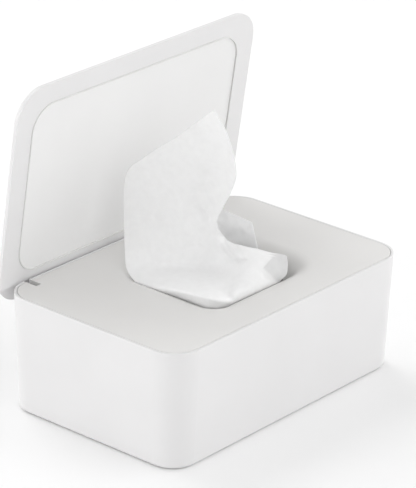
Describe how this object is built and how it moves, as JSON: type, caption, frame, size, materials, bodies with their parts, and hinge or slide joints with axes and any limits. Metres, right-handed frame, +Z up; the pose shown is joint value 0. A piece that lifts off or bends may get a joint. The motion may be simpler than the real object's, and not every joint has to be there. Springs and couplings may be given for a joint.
{
  "type": "countertop wipes dispenser box",
  "caption": "Low rounded plastic box with an inset lift-off cover, a wide rolled mouth that a wipe is pulled through, and a thin flip-up lid hinged at the back.",
  "frame": {"origin": "centre of the foot ring, on the surface the box stands on, under the middle of the box", "axes": "+X along the box's long side, +Z up, -Y towards the user, so the lid's hinge is at +Y"},
  "size_m": [0.19, 0.1297, 0.1817],
  "materials": {
    "shell": "fine satin white moulding",
    "liner": "smooth satin white sheet",
    "soft_seal": "soft matte off-white",
    "pin_steel": "ground bright",
    "wipe_fabric": "soft nonwoven, slightly translucent"
  },
  "bodies": {
    "base": {"base_shell": "shell", "foot_ring": "soft_seal", "wipes_stack": "wipe_fabric"},
    "cover": {"top_cover": "shell", "cover_gasket": "soft_seal"},
    "lid": {"lid_shell": "shell", "lid_liner": "liner", "lid_seal": "soft_seal", "hinge_pin_left": "pin_steel", "hinge_pin_right": "pin_steel"},
    "wipe": {"pulled_wipe": "wipe_fabric", "next_wipe": "wipe_fabric"}
  },
  "joints": [
    {"name": "cover_lift", "type": "slide", "parent": "base", "child": "cover", "axis": [0, 0, 1], "range_m": [0, 0.045]},
    {"name": "lid_hinge", "type": "hinge", "parent": "cover", "child": "lid", "pos_m": [0, 0.0564, 0.0603], "axis": [-1, 0, 0], "range_deg": [-82.1, 23.9], "deforming": ["pulled_wipe", "next_wipe"]},
    {"name": "wipe_pull", "type": "slide", "parent": "cover", "child": "wipe", "axis": [0, 0, 1], "range_m": [0, 0.1]}
  ]
}
